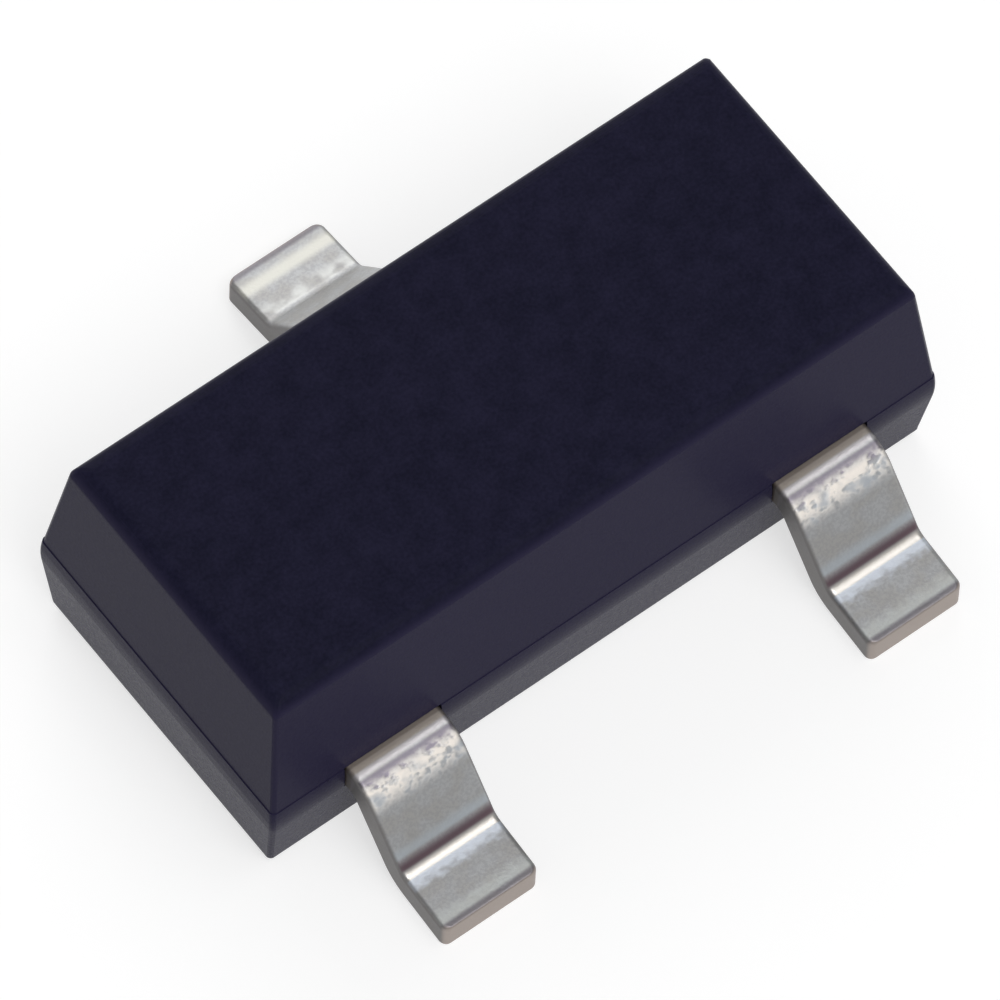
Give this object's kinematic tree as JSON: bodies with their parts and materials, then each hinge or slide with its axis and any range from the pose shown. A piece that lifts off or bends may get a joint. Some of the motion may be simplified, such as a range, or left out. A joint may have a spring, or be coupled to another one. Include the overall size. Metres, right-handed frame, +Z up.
{
  "type": "surface-mount zener diode",
  "caption": "Surface-mount voltage-reference diode: a black moulded block with drafted sides on bent tin-plated leads, with paddle, die and bond wire inside.",
  "frame": {"origin": "on the seating plane under the middle of the package, at the height of the toes' lower edges", "axes": "+X along the body, towards the unused lead; +Y towards the single cathode lead; +Z up from the board"},
  "size_m": [0.003, 0.0026, 0.001],
  "materials": {
    "moulding_compound": "black epoxy moulding compound, finely matt from the mould",
    "matte_tin": "matt tin plating on a stamped and bent copper alloy sheet",
    "silicon": "sawn silicon with a polished top",
    "silver_epoxy": "silver-filled epoxy, dull grey",
    "gold": "bright drawn gold wire"
  },
  "bodies": {
    "root": {"moulded_body": "moulding_compound", "cathode_lead": "matte_tin", "anode_lead": "matte_tin", "unused_lead": "matte_tin", "zener_die": "silicon", "die_attach": "silver_epoxy", "bond_wire": "gold"}
  },
  "joints": []
}
